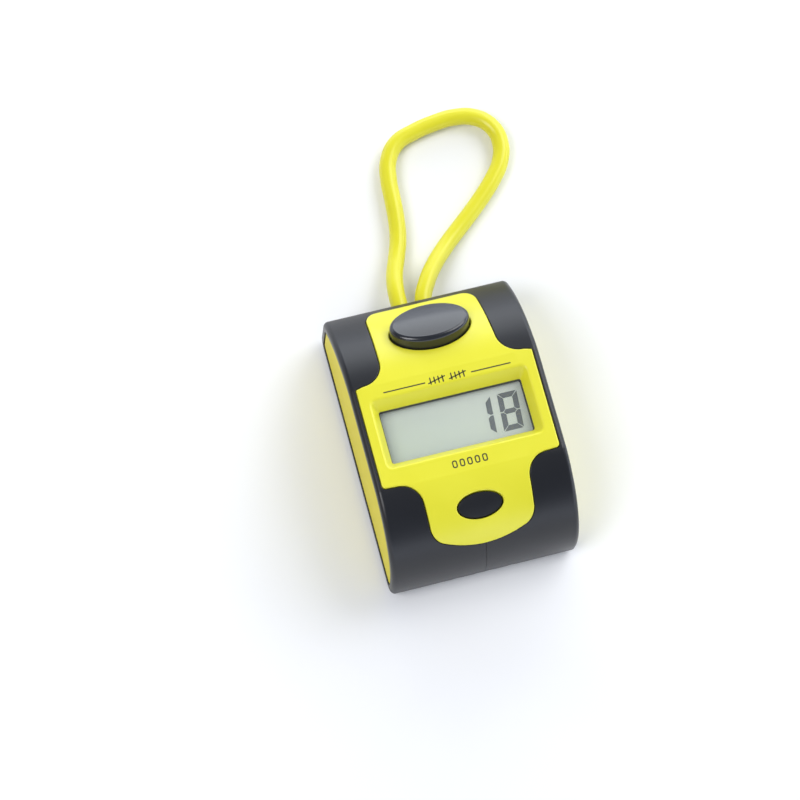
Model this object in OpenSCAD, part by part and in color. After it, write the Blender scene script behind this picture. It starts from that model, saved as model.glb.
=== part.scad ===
// Electronic hand tally counter with a display, a count button, a reset button and a lanyard loop.
// It lies on its flat back: +Z out of the display, +Y towards the lanyard end, +X to the reader's right.
// The origin is the middle of the back face. Millimetres.

/* [Case] */
// Width of the case
case_w = 37.2; // [37:0.1:38]
// Length of the case
case_l = 54; // [53.8:0.1:54.6]
// Height of the flat front face over the back
face_z = 22.6; // [22.4:0.1:23]
// Thickness of the case walls
wall = 2; // [1.8:0.1:2.1]
// Rounding of the long edges
edge_r = 1; // [0.8:0.1:1.6]

/* [Faceplate] */
// Thickness of the yellow faceplate
plate_t = 1.45; // [1.3:0.05:1.5]
// How far the faceplate stands proud of the case
plate_proud = 0.25; // [0.1:0.05:0.4]
// Gap between the faceplate and its pocket
plate_gap = 0.12; // [0.08:0.01:0.2]

/* [Display] */
// Width of the window
window_w = 28.1; // [27:0.1:28.4]
// Height of the window
window_h = 10.5; // [10:0.1:10.8]
// Depth of the sloped recess from the faceplate to the window
recess_d = 2.35; // [2:0.05:2.5]

/* [Buttons] */
// Long half axis of the count button
count_a = 7.8; // [7.4:0.1:8]
// Short half axis of the count button
count_b = 4.9; // [4.6:0.1:5]
// Height of the count button over the case's curve
count_h = 2.6; // [2:0.1:3]
// Long half axis of the reset button
reset_a = 4.35; // [4:0.05:4.5]
// Short half axis of the reset button, seen from the front
reset_b = 2.15; // [2:0.05:2.3]

/* [Battery] */
// Diameter of the button cell
cell_d = 11.6; // [11.5:0.1:11.6]
// Height of the button cell
cell_h = 5.4; // [5.2:0.1:5.4]

/* [Lanyard] */
// Diameter of the lanyard cord
cord_d = 3.4; // [3:0.1:3.5]

/* [Hidden] */

black_plastic = [0.13, 0.14, 0.16];
yellow_plastic = [0.93, 0.9, 0.2];
$fn = 48;

half_w = case_w / 2;
half_l = case_l / 2;
far = 60;                // longer than anything it cuts
joint_gap = 0.05;        // between pieces that only meet

// Side profile: a flat front between two arcs, a rounded lanyard end and rounded back corners.
upper_r = 27;            // front arc that runs down to the lanyard end
upper_slope = 9.4;       // its slope where it leaves the flat
upper_start = 8.8;       // where it leaves the flat
upper_y = upper_start - upper_r * sin(upper_slope);
upper_z = face_z - upper_r * cos(upper_slope);
lower_r = 18.1;          // front arc that runs down to the lower end
lower_slope = 8;
lower_y = lower_r - half_l;
lower_z = face_z - lower_r * cos(lower_slope);
end_r = 4;               // rounding of the lanyard end
end_y = half_l - end_r;
end_z = upper_z + sqrt(pow(upper_r - end_r, 2) - pow(end_y - upper_y, 2));
end_angle = atan2(end_z - upper_z, end_y - upper_y);
back_r = 3;              // rounding of the two back edges

// Angle at which an arc grown by d meets the flat front grown by d.
function flat_angle(z, r, d) = asin((face_z + d - z) / (r + d));
// Points on an arc from angle a0 to a1; first = 1 leaves out the point that it shares with the arc before.
function arc(y, z, r, a0, a1, n, first = 0) =
    [for (i = [first : n]) let (a = a0 + (a1 - a0) * i / n) [y + r * cos(a), z + r * sin(a)]];
function profile(d) = concat(
    arc(end_y, end_z, end_r + d, 0, end_angle, 4),
    arc(upper_y, upper_z, upper_r + d, end_angle, flat_angle(upper_z, upper_r, d), 8, 1),
    arc(lower_y, lower_z, lower_r + d, 180 - flat_angle(lower_z, lower_r, d), 180, 12),
    arc(back_r - half_l, back_r, back_r + d, 180, 270, 4),
    arc(half_l - back_r, back_r, back_r + d, 270, 360, 4));
function ellipse(a, b, n = 48) = [for (i = [0 : n - 1]) [a * cos(360 * i / n), b * sin(360 * i / n)]];

// Places along X inside the case.
cover_t = 1.2;           // thickness of a side cover
cover_recess = 0.2;      // how far it sits below the case's side
side_wall = 1;          // wall behind a side cover
cover_floor = half_w - cover_recess - cover_t;
inner_x = cover_floor - side_wall;
rim = 1.9;               // black rim round a side cover
cover_gap = 0.1;
peg_r = 1;
peg_l = 1.6;
peg_at = [[-12, 13], [11, 14.5]];

// Display, window and recess.
window_y = -1.1;         // middle of the display along Y
recess_w = 30.6;
recess_top = 7.2;        // the recess's upper edge over the window's middle
recess_bottom = -6.5;    // and its lower edge
plate_z = face_z + plate_proud;
window_z = plate_z - recess_d;
tub_t = 1;               // wall round the recess under the plate
lens_t = 0.8;
glass_t = 0.7;
glass_w = 31;
glass_high = 6.6;        // upper edge of the display's sheets, over the window's middle
front_glass_low = -7.4;  // lower edge of the front glass, which reaches over the connector
rear_glass_low = -5.6;   // lower edge of the rear glass and the foil
front_glass_z = window_z - lens_t - glass_t - 0.1;
rear_glass_z = front_glass_z - glass_t;
foil_t = 0.2;
foil_z = rear_glass_z - foil_t;

// Main board.
board_t = 1.2;
board_z = 11.2;          // its underside
board_top = board_z + board_t;
board_w = 30.8;
board_low = -21.4;
board_high = 10.4;
post_at = [[-8.2, 8.6], [8.2, 8.6], [-8.2, -10.9], [8.2, -10.9]];
post_r = 1.4;
pilot_r = 0.68;          // hole for a board screw
pilot_depth = 5.5;

// Count button: its own frame stands on the case's curve.
count_y = 18.1;
count_tilt = asin((count_y - upper_y) / upper_r);
count_z = upper_z + upper_r * cos(count_tilt);
count_flange = 0.8;
count_board_z = -6.6;    // contact board's top, in the button's frame
count_dome_h = 2.4;
pad_r = 2.4;             // middle of either dome, which the stem presses
slot_in = 5;             // where the case's slots for the contact board start

// Reset button, which moves straight down.
reset_y = -17.8;
reset_flange = 0.85;
reset_dome_h = 1.8;
button_gap = 0.2;

// Battery bay.
cell_y = -17;
cell_z = 1.75;
well_gap = 0.15;
well_t = 0.95;
bay_roof = 7.5;
door_w = 16;
door_t = 1.6;
door_end = -9;
tongue = 0.8;            // how far the door's side tongues reach into the case
tongue_z = 0.9;          // their underside
rail_x = 9.3;            // middle of the rails that the tongues run under
rail_half = 1.5;
bay_half = 7.5;          // half length of the bay's roof
strip_t = 0.3;           // sheet metal of the contacts
strip_half = 1.4;
leg_x = -4.7;            // outer face of the negative contact's leg
leg_room = 0.2;          // room for a leg on either side

// Case screws, along X.
screw_at = [[-5, 5], [14, 5]];
boss_r = 2.2;
head_r = 1.9;
shank_r = 1;
head_x = 6;
head_h = 1.6;
screw_end = -7.5;
pilot_boss_r = 1.4;      // boss behind the screw's tip
pilot_boss_x = -9;

// Lanyard: both cord ends go through the lanyard end into the anchor.
cord_x = 2.4;
cord_z = 5.5;
cord_hole_r = cord_d / 2 + 0.15;
anchor_y = 19.8;
anchor_z = 3;            // top of the rests that it lies on

// The loop's route, from one end in the anchor to the other.
route = [
    [-2.4, 21, 5.5], [-2.4, 28, 5.5], [-2.2, 31.6, 4.9], [-1.4, 35.2, 3.7], [0, 38.8, 2.5],
    [1.4, 42.6, 1.9], [2.2, 46.8, 1.8], [2.6, 51.2, 1.8], [2.9, 55.4, 1.8], [3.9, 59.5, 1.8],
    [6.5, 62.8, 1.8], [10.4, 64.3, 1.8], [14.8, 65.2, 1.8], [19.3, 65.5, 1.8], [23.4, 64.5, 1.8],
    [26.2, 61.8, 1.8], [27, 58, 1.8], [25.9, 54.2, 1.8], [23.4, 50.8, 1.8], [20.2, 47.6, 1.8],
    [16.8, 44.6, 1.8], [13.3, 41.7, 1.9], [9.9, 38.7, 2.5], [6.8, 35.4, 3.7], [4.2, 31.8, 4.9],
    [2.4, 28, 5.5], [2.4, 21, 5.5]];

// ---- shared shapes ----

// Extrudes a side profile across the case, from x0 to x1.
module across(points, x0, x1) {
    translate([x0, 0, 0]) rotate([90, 0, 90]) linear_extrude(x1 - x0) polygon(points);
}

// A plate between two corners.
module block(low, high) {
    translate(low) cube(high - low);
}

// A cylinder along X from x0 to x1.
module rod_x(x0, x1, y, z, r) {
    translate([x0, y, z]) rotate([0, 90, 0]) cylinder(h = x1 - x0, r = r);
}

// Puts its children in the count button's frame.
module at_count() {
    translate([0, count_y, count_z]) rotate([-count_tilt, 0, 0]) children();
}

// The case's outer form: one convex body with rounded long edges.
module case_form() {
    steps = 3;
    hull() {
        for (k = [0 : steps]) {
            inset = edge_r * (1 - sin(90 * k / steps));
            x = half_w - edge_r * (1 - cos(90 * k / steps));
            across(profile(-inset), -x, x);
        }
    }
}

// The faceplate's outline: a wide block between an upper and a lower tab, with hollow corners.
block_half = 17.3;       // half width of the block, whose four ears end in it
ear = 0.25;              // cut off each ear's tip
upper_ear = 8.85;
lower_ear = -11.05;
hollow_r = 4.4;
upper_hollow = [15.8, upper_ear + 0.3 + hollow_r];
lower_hollow = [14.7, lower_ear - 0.1 - hollow_r];
upper_tab_half = 11;     // half width of the upper tab at its far end
upper_tab_end = 25.6;
upper_tab_r = 2.5;
lower_tab_half = 10.1;
lower_tab_end = -24.1;
lower_tab_r = 3;
lower_edge_r = 25;       // curve of the lower tab's end
lower_corner_x = lower_tab_half - lower_tab_r;
lower_corner_y = lower_tab_end + lower_edge_r
    - sqrt(pow(lower_edge_r - lower_tab_r, 2) - pow(lower_corner_x, 2));
lower_corner_a = 270 + asin(lower_corner_x / (lower_edge_r - lower_tab_r));
half_outline = concat(
    arc(0, lower_tab_end + lower_edge_r, lower_edge_r, 270, lower_corner_a, 5),
    arc(lower_corner_x, lower_corner_y, lower_tab_r, lower_corner_a, 360, 5, 1),
    arc(lower_hollow[0], lower_hollow[1], hollow_r, 180, 90, 8),
    [[block_half - ear, lower_ear], [block_half, lower_ear + ear],
        [block_half, upper_ear - ear], [block_half - ear, upper_ear]],
    arc(upper_hollow[0], upper_hollow[1], hollow_r, 270, 180, 8),
    arc(upper_tab_half - upper_tab_r, upper_tab_end - upper_tab_r, upper_tab_r, 0, 90, 5));
other_half = [for (i = [len(half_outline) - 1 : -1 : 1]) [-half_outline[i][0], half_outline[i][1]]];
module plate_outline(grow = 0) {
    offset(delta = grow) polygon(concat(half_outline, other_half));
}

// Everything in front of the side profile grown by d, inside the outline.
module plate_prism(grow, z0 = 9) {
    translate([0, 0, z0]) linear_extrude(far) plate_outline(grow);
}

// The sloped recess over the window; grow widens it to the tub round it.
module recess(grow = 0) {
    hull() {
        translate([0, window_y, plate_z + 0.01])
            linear_extrude(0.02)
                offset(r = 1.2 + grow, $fn = 32)
                    translate([-recess_w / 2 + 1.2, recess_bottom + 1.2])
                        square([recess_w - 2.4, recess_top - recess_bottom - 2.4]);
        translate([0, window_y, window_z - (grow > 0 ? 0 : 0.01)])
            linear_extrude(0.02)
                offset(r = 0.6 + grow, $fn = 32)
                    square([window_w - 1.2, window_h - 1.2], center = true);
    }
}

// ---- case ----

module case_bosses() {
    for (at = screw_at) {
        rod_x(pilot_boss_x, cover_floor, at[0], at[1], boss_r);
        rod_x(-inner_x, pilot_boss_x, at[0], at[1], pilot_boss_r);
    }
}

// Roof and ring of the battery bay, which hang from the side walls.
module battery_bay() {
    block([-inner_x, cell_y - bay_half, bay_roof], [inner_x, cell_y + bay_half, bay_roof + 1]);
    translate([0, cell_y, wall]) cylinder(h = bay_roof - wall, r = cell_d / 2 + well_gap + well_t);
    for (side = [-1, 1]) {
        translate([side * rail_x, 0, 0])
            block([-rail_half, -half_l + 1, wall - 0.2], [rail_half, door_end, wall + 1]);
    }
}

// Slots that hold the contact board's two side edges, and rests for the lanyard anchor.
module board_slots() {
    slot_half = 3;
    below = 1.6;         // thickness of the shelf under the board
    above = 1.2;         // and of the rib over it
    play = 0.05;
    for (side = [-1, 1]) {
        at_count() {
            // Both run into the side wall.
            translate([side * (inner_x + 0.2 + slot_in) / 2, 0, count_board_z - board_t - below / 2])
                cube([inner_x + 0.2 - slot_in, 2 * slot_half, below], center = true);
            translate([side * (inner_x + 0.5 + slot_in) / 2, 0, count_board_z + play + above / 2])
                cube([inner_x - 0.1 - slot_in, 2 * slot_half, above], center = true);
        }
        block([side * 4 - 2, anchor_y + 0.5, wall - 0.1], [side * 4 + 2, half_l - wall + 0.2, anchor_z]);
    }
}

// The door with its tongues, longer than the case, with a gap round it.
module battery_door_form(gap) {
    door_half = door_w / 2 + gap;
    block([-door_half, -far, -1], [door_half, door_end + gap, door_t + gap]);
    block([-door_half - tongue, -far, tongue_z - gap], [door_half + tongue, door_end + gap, door_t + gap]);
}

module case_half(side) {
    ledge = 1.6;         // what the faceplate rests on, inside its outline
    opening_z = 11;
    color(black_plastic)
    difference() {
        intersection() {
            case_form();
            block([side < 0 ? -far : 0, -far, -far], [side < 0 ? 0 : far, far, far]);
            union() {
                difference() {
                    block([-far, -far, -far], [far, far, far]);
                    across(profile(-wall), -inner_x, inner_x);
                }
                intersection() {
                    across(profile(-wall + 0.2), -inner_x - 0.2, inner_x + 0.2);
                    union() {
                        case_bosses();
                        battery_bay();
                        board_slots();
                    }
                }
            }
        }
        // Pocket and opening for the faceplate.
        difference() {
            plate_prism(plate_gap);
            across(profile(plate_proud - plate_t - joint_gap), -far, far);
        }
        intersection() {
            plate_prism(-ledge, opening_z);
            across(profile(0), -block_half + ledge, block_half - ledge);
        }
        // Pocket and peg holes for the side cover.
        across(profile(-rim), side < 0 ? -far : cover_floor, side < 0 ? -cover_floor : far);
        for (at = peg_at) {
            rod_x(side < 0 ? -far : inner_x - 1, side < 0 ? -inner_x + 1 : far,
                at[0], at[1], peg_r + joint_gap);
        }
        // Screw holes: head and clearance on the right, pilot on the left.
        for (at = screw_at) {
            rod_x(head_x, far, at[0], at[1], head_r + 0.1);
            rod_x(-1, head_x + 1, at[0], at[1], shank_r + 0.1);
            rod_x(-8.5, 0, at[0], at[1], shank_r + 0.02);
        }
        // Battery bay, its door and the contacts' ways up to the board.
        battery_door_form(2 * joint_gap);
        translate([0, cell_y, -1]) cylinder(h = bay_roof + 1, r = cell_d / 2 + well_gap);
        block([leg_x - leg_room, cell_y - strip_half - leg_room, bay_roof - 1.5],
            [leg_x + strip_t + leg_room, cell_y + strip_half + leg_room, bay_roof + 2]);
        block([cell_d / 2 - 0.6, cell_y - strip_half - leg_room, 1.7],
            [cell_d / 2 + 0.6, cell_y + strip_half + leg_room, bay_roof + 2]);
        // Cord hole.
        translate([side * cord_x, half_l + 1, cord_z]) rotate([90, 0, 0])
            cylinder(h = wall + 2, r = cord_hole_r);
    }
}

module left_shell() {
    case_half(-1);
}

module right_shell() {
    case_half(1);
}

module side_cover(side) {
    color(yellow_plastic) {
        across(profile(-rim - cover_gap),
            side < 0 ? -cover_floor - cover_t : cover_floor,
            side < 0 ? -cover_floor : cover_floor + cover_t);
        for (at = peg_at) {
            rod_x(side < 0 ? -cover_floor : cover_floor - peg_l,
                side < 0 ? -cover_floor + peg_l : cover_floor, at[0], at[1], peg_r);
        }
    }
}

module left_side_cover() {
    side_cover(-1);
}

module right_side_cover() {
    side_cover(1);
}

module faceplate() {
    color(yellow_plastic)
    difference() {
        union() {
            intersection() {
                plate_prism(0);
                difference() {
                    across(profile(plate_proud), -block_half - 1, block_half + 1);
                    across(profile(plate_proud - plate_t), -far, far);
                }
            }
            intersection() {
                recess(tub_t);
                across(profile(plate_proud), -inner_x + 0.2, inner_x - 0.2);
            }
            // Posts that the main board is screwed to.
            for (at = post_at) {
                translate([at[0], at[1], board_top]) cylinder(h = window_z - board_top + 1, r = post_r);
            }
        }
        recess();
        at_count() linear_extrude(20, center = true)
            polygon(ellipse(count_a + button_gap, count_b + button_gap));
        translate([0, reset_y, 0]) linear_extrude(far)
            polygon(ellipse(reset_a + button_gap, reset_b + button_gap));
        for (at = post_at) {
            translate([at[0], at[1], board_top - 1]) cylinder(h = pilot_depth + 1, r = pilot_r);
        }
    }
}

// ---- display ----

module display_window() {
    lip = 0.9;           // how far it reaches under the faceplate
    color([0.8, 0.85, 0.85, 0.4])
    block([-window_w / 2 - lip, window_y - window_h / 2 - lip, window_z - lens_t],
        [window_w / 2 + lip, window_y + window_h / 2 + lip, window_z]);
}

// A sheet of the display with its lower edge at low over the window's middle.
module glass_sheet(low, z, thick, gap = 0) {
    block([-glass_w / 2 - gap, window_y + low - gap, z],
        [glass_w / 2 + gap, window_y + glass_high + gap, z + thick]);
}

module lcd_front_glass() {
    color([0.75, 0.8, 0.78, 0.6])
    glass_sheet(front_glass_low, front_glass_z, glass_t);
}

module lcd_rear_glass() {
    color([0.7, 0.76, 0.72, 0.8])
    glass_sheet(rear_glass_low, rear_glass_z, glass_t);
}

module lcd_reflector() {
    color([0.75, 0.78, 0.72])
    glass_sheet(rear_glass_low, foil_z, foil_t);
}

// The connector stands in a slot of the frame, below the front glass's contact edge.
zebra_low = window_y + front_glass_low + 0.2;
zebra_w = 1.5;
zebra_half = 14;
seat_gap = 0.1;
module lcd_frame() {
    frame_half = 15.95;
    hole_half = 13.4;    // opening under the display
    color([0.85, 0.86, 0.84])
    difference() {
        block([-frame_half, window_y - 7.9, board_top],
            [frame_half, window_y + 7.1, front_glass_z + glass_t]);
        glass_sheet(front_glass_low, front_glass_z, far, seat_gap);
        glass_sheet(rear_glass_low, foil_z, far, seat_gap);
        block([-hole_half, window_y - 3.4, 0], [hole_half, window_y + 5.8, far]);
        block([-zebra_half - seat_gap, zebra_low - seat_gap, 0],
            [zebra_half + seat_gap, zebra_low + zebra_w + seat_gap, far]);
    }
}

module zebra_connector() {
    color([0.35, 0.35, 0.4])
    block([-zebra_half, zebra_low, board_top], [zebra_half, zebra_low + zebra_w, front_glass_z]);
}

// ---- electronics ----

module main_board() {
    screw_hole_r = 0.95;
    corner_r = 2.5;      // cut from the two lower corners
    color([0.1, 0.42, 0.22])
    difference() {
        block([-board_w / 2, board_low, board_z], [board_w / 2, board_high, board_top]);
        for (at = post_at) {
            translate([at[0], at[1], 0]) cylinder(h = far, r = screw_hole_r);
        }
        for (side = [-1, 1]) {
            translate([side * board_w / 2, board_low, 0]) cylinder(h = far, r = corner_r);
        }
    }
}

// The epoxy blob over the chip, on the board's underside.
module counter_chip() {
    blob_r = 4.2;
    blob_h = 1.3;
    sphere_r = (blob_r * blob_r + blob_h * blob_h) / (2 * blob_h);
    color([0.06, 0.06, 0.07])
    translate([0, 0, board_z]) mirror([0, 0, 1])
        rotate_extrude()
            intersection() {
                translate([0, blob_h - sphere_r]) circle(r = sphere_r, $fn = 96);
                square([blob_r, blob_h]);
            }
}

// Three chip capacitors and a can-shaped crystal in its clip.
module board_components() {
    chip_half = [1, 0.65];
    chip_h = 0.8;
    can_r = 1;
    can_z = board_z - 1.6;
    for (at = [[8, 1], [8, -3], [-8, 1]]) {
        color([0.7, 0.6, 0.45])
        block([at[0] - chip_half[0], at[1] - chip_half[1], board_z - chip_h],
            [at[0] + chip_half[0], at[1] + chip_half[1], board_z]);
    }
    color([0.75, 0.75, 0.78])
    rod_x(-9.5, -3.5, -3.5, can_z, can_r);
    color([0.75, 0.75, 0.78])
    block([-8.5, -4.2, can_z + can_r / 2], [-4.5, -2.8, board_z]);
}

module board_screws() {
    head_t = 1;
    cross = 1.7;         // length of the cross slot's arms
    slot = 0.35;
    color([0.75, 0.76, 0.78])
    for (at = post_at) {
        translate([at[0], at[1], board_z - head_t])
            difference() {
                union() {
                    cylinder(h = head_t, r = 1.5);
                    translate([0, 0, head_t / 2]) cylinder(h = 6, r = 0.65);
                }
                cube([cross, slot, 0.9], center = true);
                cube([slot, cross, 0.9], center = true);
            }
    }
}

// ---- count button ----

// Bottom ring, sloped skirt and middle pad of a rubber dome that stands on z = 0.
module rubber_dome(base_r, height) {
    ring_w = 1.2;
    pad_t = 0.9;
    rotate_extrude()
        polygon([[base_r - ring_w, 0], [base_r, 0], [base_r, 0.6], [pad_r, height], [0, height],
            [0, height - pad_t], [pad_r - 0.6, height - pad_t], [base_r - ring_w, 0.3]]);
}

module count_button() {
    top_r = 0.9;
    flange_z = -3;
    stem_z = count_board_z + count_dome_h;
    color(black_plastic)
    at_count() {
        translate([0, 0, -2]) linear_extrude(2 + count_h - top_r) polygon(ellipse(count_a, count_b));
        hull() {
            for (k = [0 : 3]) {
                inset = top_r * (1 - cos(30 * k));
                translate([0, 0, count_h - top_r + top_r * sin(30 * k) - 0.01])
                    linear_extrude(0.01) polygon(ellipse(count_a - inset, count_b - inset));
            }
        }
        translate([0, 0, flange_z]) linear_extrude(1)
            polygon(ellipse(count_a + count_flange, count_b + count_flange));
        translate([0, 0, stem_z]) cylinder(h = flange_z - stem_z + 0.5, r = pad_r);
    }
}

module count_dome() {
    color([0.75, 0.75, 0.72])
    at_count() translate([0, 0, count_board_z]) rubber_dome(4.4, count_dome_h);
}

module count_board() {
    color([0.1, 0.42, 0.22])
    at_count() translate([0, 0, count_board_z - board_t / 2]) cube([13.6, 10, board_t], center = true);
}

// Two solid wires that stand between the two boards.
module count_wires() {
    color([0.85, 0.5, 0.3])
    for (x = [-2.5, 2.5]) {
        translate([x, 9.9, board_top]) cylinder(h = 2.7, r = 0.35);
    }
}

// ---- reset button ----

module reset_button() {
    stem_z = board_top + reset_dome_h;
    flange_z = stem_z + 0.8;
    sunk = 0.3;          // how far its face lies below the faceplate's
    color([0.1, 0.11, 0.12]) {
        intersection() {
            translate([0, reset_y, flange_z]) linear_extrude(far) polygon(ellipse(reset_a, reset_b));
            across(profile(plate_proud - sunk), -far, far);
        }
        intersection() {
            translate([0, reset_y, flange_z]) linear_extrude(far)
                polygon(ellipse(reset_a + reset_flange, reset_b + reset_flange));
            across(profile(plate_proud - plate_t - sunk), -far, far);
        }
        translate([0, reset_y, stem_z]) cylinder(h = 1.5, r = 1.8);
    }
}

module reset_dome() {
    color([0.75, 0.75, 0.72])
    translate([0, reset_y, board_top]) rubber_dome(3.3, reset_dome_h);
}

// ---- battery ----

module battery_cell() {
    color([0.78, 0.79, 0.8])
    translate([0, cell_y, cell_z]) {
        cylinder(h = cell_h - 0.5, r = cell_d / 2);
        cylinder(h = cell_h, r = cell_d / 2 - 1.2);
    }
}

// A strip that presses on the cell's small end, with a leg up to the board.
module negative_contact() {
    cell_top = cell_z + cell_h;
    color([0.8, 0.8, 0.78]) {
        block([leg_x, cell_y - strip_half, cell_top], [3, cell_y + strip_half, cell_top + strip_t]);
        block([leg_x, cell_y - strip_half, cell_top], [leg_x + strip_t, cell_y + strip_half, board_z]);
    }
}

// A strip that touches the cell's side, with its leg up to the board.
module positive_contact() {
    color([0.8, 0.8, 0.78])
    block([cell_d / 2, cell_y - strip_half, 2.2], [cell_d / 2 + strip_t, cell_y + strip_half, board_z]);
}

module battery_door() {
    groove_half = 4.5;
    groove_pitch = 1.6;
    color(black_plastic)
    difference() {
        intersection() {
            case_form();
            battery_door_form(0);
        }
        // Finger grooves near the end that is pushed.
        for (i = [0 : 3]) {
            rod_x(-groove_half, groove_half, door_end - 3 - groove_pitch * i, -0.3, 0.6);
        }
    }
}

// ---- fasteners ----

module case_screws() {
    cross = 2.2;         // length of the cross slot's arms
    slot = 0.45;
    color([0.75, 0.76, 0.78])
    for (at = screw_at) {
        difference() {
            union() {
                rod_x(head_x, head_x + head_h, at[0], at[1], head_r);
                rod_x(screw_end, head_x + 0.5, at[0], at[1], shank_r);
            }
            translate([head_x + head_h, at[0], at[1]]) cube([1.4, cross, slot], center = true);
            translate([head_x + head_h, at[0], at[1]]) cube([1.4, slot, cross], center = true);
        }
    }
}

// ---- lanyard ----

module lanyard_anchor() {
    anchor_half = 6.4;
    anchor_top = 8.2;
    color([0.2, 0.2, 0.22])
    difference() {
        block([-anchor_half, anchor_y, anchor_z], [anchor_half, half_l - wall, anchor_top]);
        for (side = [-1, 1]) {
            translate([side * cord_x, far, cord_z]) rotate([90, 0, 0])
                cylinder(h = far - route[0][1] + 0.05, r = cord_d / 2 + 0.04);
        }
    }
}

// A tube of eight sides through a route's points.
function unit(v) = v / norm(v);
function heading(i, n) = unit(route[min(i + 1, n)] - route[max(i - 1, 0)]);
module lanyard_loop() {
    sides = 8;
    n = len(route) - 1;
    rings = [for (i = [0 : n])
        let (t = heading(i, n), s = unit(cross(t, [0, 0, 1])), u = cross(s, t))
        for (k = [0 : sides - 1])
            route[i] + cord_d / 2 * (cos(360 * k / sides) * s + sin(360 * k / sides) * u)];
    walls = [for (i = [0 : n - 1], k = [0 : sides - 1])
        let (a = i * sides + k, b = i * sides + (k + 1) % sides)
        each [[a, b, b + sides], [a, b + sides, a + sides]]];
    color([0.93, 0.88, 0.2])
    polyhedron(rings, concat(walls,
        [[for (k = [sides - 1 : -1 : 0]) k], [for (k = [0 : sides - 1]) n * sides + k]]));
}

left_shell();
right_shell();
faceplate();
left_side_cover();
right_side_cover();
display_window();
lcd_front_glass();
lcd_rear_glass();
lcd_reflector();
lcd_frame();
zebra_connector();
main_board();
counter_chip();
board_components();
board_screws();
count_button();
count_dome();
count_board();
count_wires();
reset_button();
reset_dome();
battery_cell();
negative_contact();
positive_contact();
battery_door();
case_screws();
lanyard_anchor();
lanyard_loop();
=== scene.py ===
"""Hand tally counter: the visible model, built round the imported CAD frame.

Shapes are worked out in millimetres in the frame's own axes and written in metres.
"""
import itertools
from math import acos, asin, atan2, ceil, cos, degrees, dist, hypot, pi, sin, sqrt, tan
from math import radians as rad

import bmesh
import bpy
import numpy as np
from mathutils import Matrix, Vector
from mathutils.geometry import delaunay_2d_cdt


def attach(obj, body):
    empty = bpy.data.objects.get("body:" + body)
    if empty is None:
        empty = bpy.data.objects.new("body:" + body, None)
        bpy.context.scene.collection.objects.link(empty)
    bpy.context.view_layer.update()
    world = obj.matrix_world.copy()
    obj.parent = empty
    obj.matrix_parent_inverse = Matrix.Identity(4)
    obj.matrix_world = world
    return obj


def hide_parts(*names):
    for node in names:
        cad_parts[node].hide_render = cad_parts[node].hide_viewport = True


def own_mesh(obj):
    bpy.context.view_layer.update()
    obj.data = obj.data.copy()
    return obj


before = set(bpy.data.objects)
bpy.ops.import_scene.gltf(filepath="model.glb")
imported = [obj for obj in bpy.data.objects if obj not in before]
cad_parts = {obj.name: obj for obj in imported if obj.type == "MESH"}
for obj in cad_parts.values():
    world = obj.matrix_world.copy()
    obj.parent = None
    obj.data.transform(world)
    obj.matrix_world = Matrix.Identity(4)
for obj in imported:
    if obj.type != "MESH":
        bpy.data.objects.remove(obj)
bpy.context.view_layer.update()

MM = 0.001
OUT = Vector((1, 0, 0))
UP = Vector((0, 0, 1))
DOWN = Vector((0, 0, -1))


def new_object(name, data):
    """A new object, linked into the scene."""
    made = bpy.data.objects.new(name, data)
    bpy.context.scene.collection.objects.link(made)
    return made


# ---- sizes, as in the CAD, in mm
HALF_W = 18.6
HALF_L = 27.0
FRONT_Z = 22.6
EDGE_R = 1.0              # rounding of the long edges
LONG_X = HALF_W - EDGE_R
PROUD = 0.25              # faceplate over the case
FACE_Z = FRONT_Z + PROUD  # the faceplate's flat face
PLATE_LOW = -1.2          # the faceplate's underside, from the case's surface
SKIN = 2.03               # thickness of the case walls
CREASE = 0.15             # half width of the softened creases
PLATE_GAP = 0.12
UPPER_R, UPPER_SLOPE, UPPER_START = 27.0, rad(9.4), 8.8
LOWER_R, LOWER_SLOPE = 18.1, rad(8.0)
END_R, BACK_R = 4.0, 3.0
UPPER_Y = UPPER_START - UPPER_R * sin(UPPER_SLOPE)
UPPER_Z = FRONT_Z - UPPER_R * cos(UPPER_SLOPE)
LOWER_Y = LOWER_R - HALF_L
LOWER_Z = FRONT_Z - LOWER_R * cos(LOWER_SLOPE)
LOWER_START = LOWER_Y - LOWER_R * sin(LOWER_SLOPE)
END_Y = HALF_L - END_R
END_Z = UPPER_Z + sqrt((UPPER_R - END_R) ** 2 - (END_Y - UPPER_Y) ** 2)
END_ANGLE = atan2(END_Z - UPPER_Z, END_Y - UPPER_Y)
WINDOW_Y = -1.1
WINDOW_HALF_W, WINDOW_HALF_H = 14.05, 5.25
WINDOW_Z = 20.5
RECESS_HALF_W, RECESS_TOP, RECESS_BOTTOM = 15.3, 6.1, -7.6
COUNT_Y = 18.1
COUNT_A, COUNT_B, COUNT_H = 7.8, 4.9, 2.6
COUNT_BOARD_Z = -6.6
RESET_Y, RESET_A, RESET_B = -17.8, 4.35, 2.15
BUTTON_GAP = 0.2
COVER_FACE, COVER_FLOOR = 18.4, 17.2
RIM, COVER_GAP = 1.9, 0.1  # black rim round a side cover
INNER_X = 16.2
BOARD_TOP = 12.4
CELL_Y, CELL_Z, CELL_R, CELL_H = -17.0, 1.75, 5.8, 5.4
DOOR_HALF, DOOR_IN, DOOR_T, DOOR_GAP = 8.0, -9.0, 1.6, 0.1
CORD_D, CORD_X, CORD_Z = 3.4, 2.4, 5.5

# ---- camera
LENS_MM = 122.9
DISTANCE = 0.5145
TARGET = Vector((0, WINDOW_Y * MM, FRONT_Z * MM))
FROM_LEFT, FROM_BELOW = rad(9.0), rad(14.0)
ROLL = rad(15.75)
ASIDE, BELOW = rad(1.212), rad(0.381)  # where the display sits, from the middle of the view

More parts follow.
